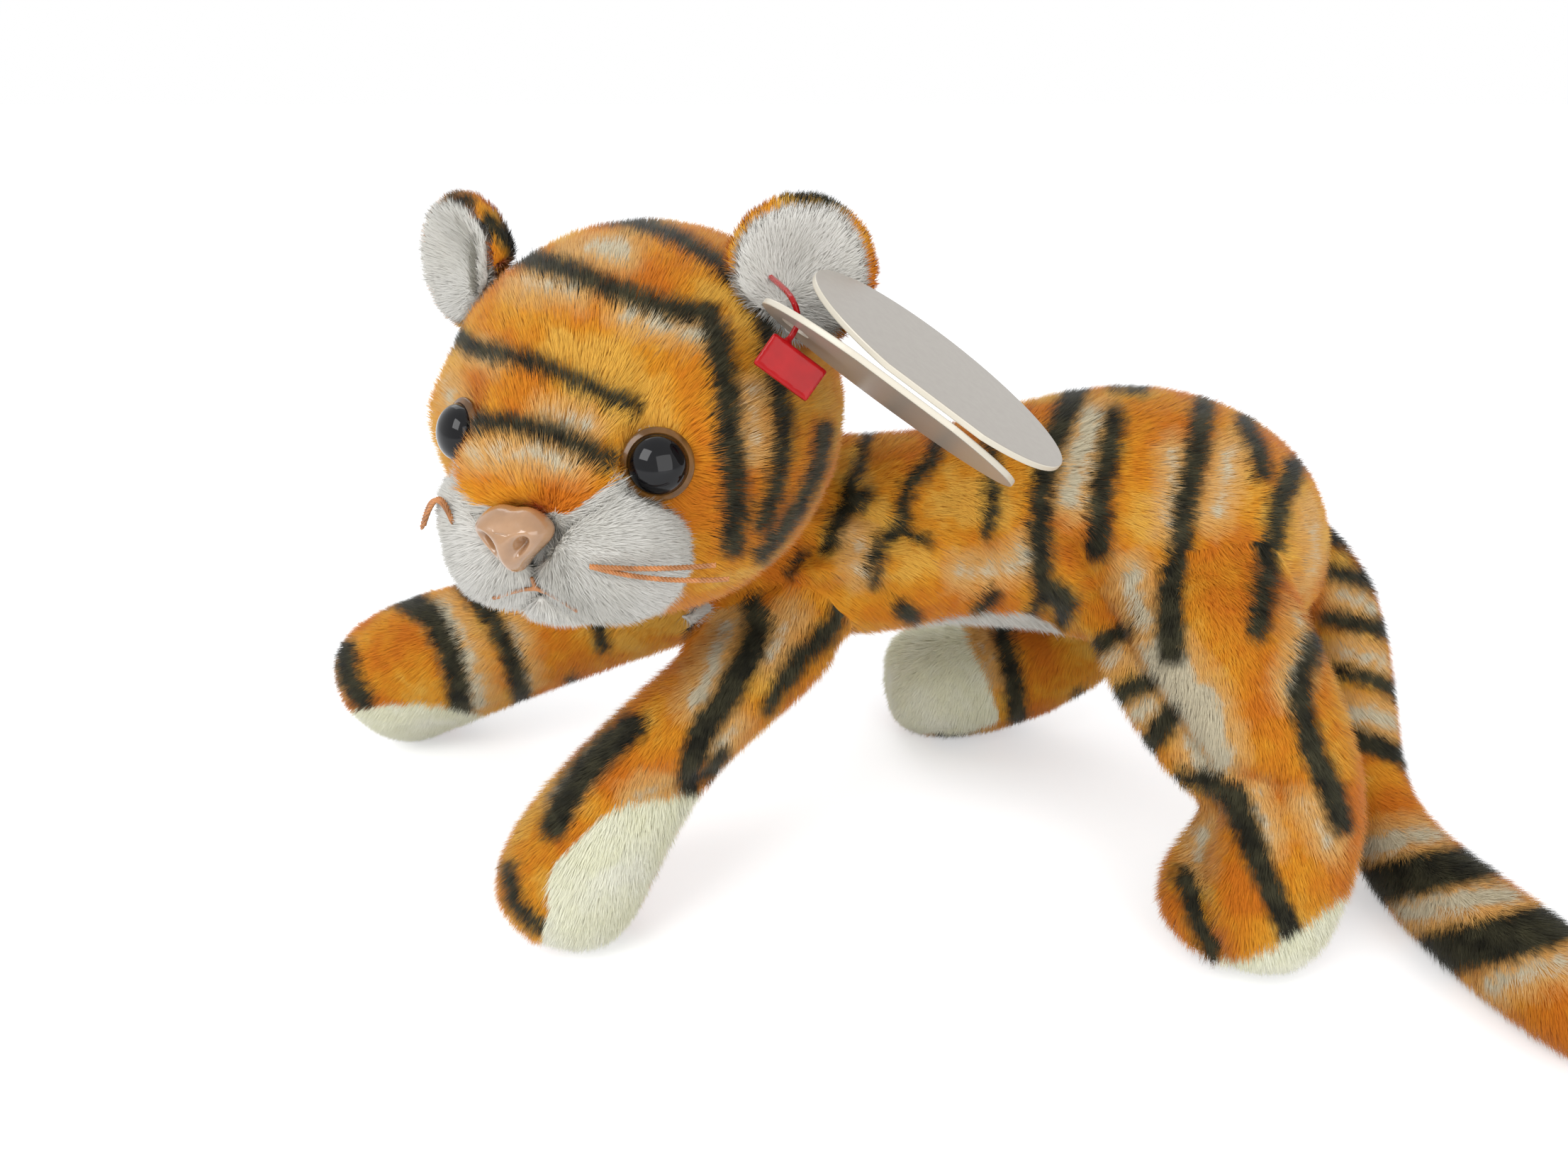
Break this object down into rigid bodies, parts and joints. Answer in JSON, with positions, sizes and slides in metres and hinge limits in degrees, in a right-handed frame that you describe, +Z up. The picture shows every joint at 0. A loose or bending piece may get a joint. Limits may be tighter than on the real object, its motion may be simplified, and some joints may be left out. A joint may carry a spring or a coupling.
{
  "type": "plush toy tiger",
  "caption": "Bean-filled plush tiger cub that stands on four soft legs, with moulded eyes and nose, cord whiskers, a curling tail and a blank folded card tag on one ear.",
  "frame": {"origin": "centre of the footprint of the whole toy, on the surface it stands on", "axes": "+X from the face end towards the tail, +Y towards the tiger's right side, +Z up"},
  "size_m": [0.2441, 0.1267, 0.1326],
  "materials": {
    "striped_plush": "short glossy plush pile, orange to gold with soft dark olive-brown tiger stripes",
    "white_plush": "short white plush pile",
    "cream_plush": "short cream plush pile",
    "pellets": "loose plastic pellets",
    "wadding": "polyester wadding",
    "black_plastic": "glossy black",
    "amber_plastic": "glossy dark amber",
    "tan_plastic": "satin-gloss tan pink",
    "nylon": "natural nylon",
    "brown_cord": "twisted brown cord",
    "brown_thread": "brown thread",
    "card": "plain coated card",
    "red_plastic": "glossy red"
  },
  "bodies": {
    "trunk": {"back_panel": "striped_plush", "belly_panel": "white_plush", "body_filling": "pellets", "bib": "white_plush"},
    "neck": {"neck_stuffing": "wadding"},
    "head": {"head_cover": "striped_plush", "head_stuffing": "wadding", "cheek_left": "white_plush", "cheek_right": "white_plush", "chin": "white_plush", "nose": "tan_plastic", "nose_washer": "nylon", "eye_ring_left": "amber_plastic", "eye_dome_left": "black_plastic", "eye_left_washer": "nylon", "eye_ring_right": "amber_plastic", "eye_dome_right": "black_plastic", "eye_right_washer": "nylon", "ear_back_left": "striped_plush", "ear_lining_left": "white_plush", "ear_back_right": "striped_plush", "ear_lining_right": "white_plush", "whisker_left": "brown_cord", "whisker_right": "brown_cord", "mouth_stitch": "brown_thread", "tag_pin": "red_plastic"},
    "tag_back": {"tag_leaf_back": "card"},
    "tag_front": {"tag_leaf_front": "card"},
    "front_left_leg": {"front_left_leg_cover": "striped_plush", "front_left_leg_filling": "pellets", "front_left_sole": "cream_plush"},
    "front_right_leg": {"front_right_leg_cover": "striped_plush", "front_right_leg_filling": "pellets", "front_right_sole": "cream_plush"},
    "hind_left_leg": {"hind_left_leg_cover": "striped_plush", "hind_left_leg_filling": "pellets", "hind_left_sole": "cream_plush"},
    "hind_right_leg": {"hind_right_leg_cover": "striped_plush", "hind_right_leg_filling": "pellets", "hind_right_sole": "cream_plush"},
    "tail": {"tail_cover": "striped_plush", "tail_filling": "pellets"}
  },
  "joints": [
    {"name": "neck_turn", "type": "hinge", "parent": "trunk", "child": "neck", "pos_m": [-0.02586, 0.00046, 0.078], "axis": [-0.5892, -0.3651, 0.7208], "range_deg": [-20, 20]},
    {"name": "neck_nod", "type": "hinge", "parent": "neck", "child": "head", "pos_m": [-0.02586, 0.00046, 0.078], "axis": [0.9298, -0.3663, 0.0349], "range_deg": [-7, 7]},
    {"name": "front_left_swing", "type": "hinge", "parent": "trunk", "child": "front_left_leg", "pos_m": [-0.01463, -0.00655, 0.056], "axis": [0, 1, 0], "range_deg": [-10, 10]},
    {"name": "front_right_swing", "type": "hinge", "parent": "trunk", "child": "front_right_leg", "pos_m": [-0.01463, 0.02425, 0.056], "axis": [0, 1, 0], "range_deg": [-10, 10]},
    {"name": "hind_left_swing", "type": "hinge", "parent": "trunk", "child": "hind_left_leg", "pos_m": [0.05132, -0.00765, 0.06276], "axis": [0, 1, 0], "range_deg": [-10, 10]},
    {"name": "hind_right_swing", "type": "hinge", "parent": "trunk", "child": "hind_right_leg", "pos_m": [0.05434, 0.0325, 0.06276], "axis": [0, 1, 0], "range_deg": [-10, 10]},
    {"name": "tail_swing", "type": "hinge", "parent": "trunk", "child": "tail", "pos_m": [0.07734, 0.01655, 0.06536], "axis": [0, 0, 1], "range_deg": [-6, 10]},
    {"name": "tag_swing", "type": "hinge", "parent": "head", "child": "tag_back", "pos_m": [-0.01604, -0.03915, 0.11728], "axis": [-0.0794, 0.9579, -0.276], "range_deg": [-15, 15]},
    {"name": "tag_open", "type": "hinge", "parent": "tag_back", "child": "tag_front", "pos_m": [0.00107, -0.05325, 0.1108], "axis": [0.809, -0.0999, -0.5793], "range_deg": [-8, 40]}
  ]
}
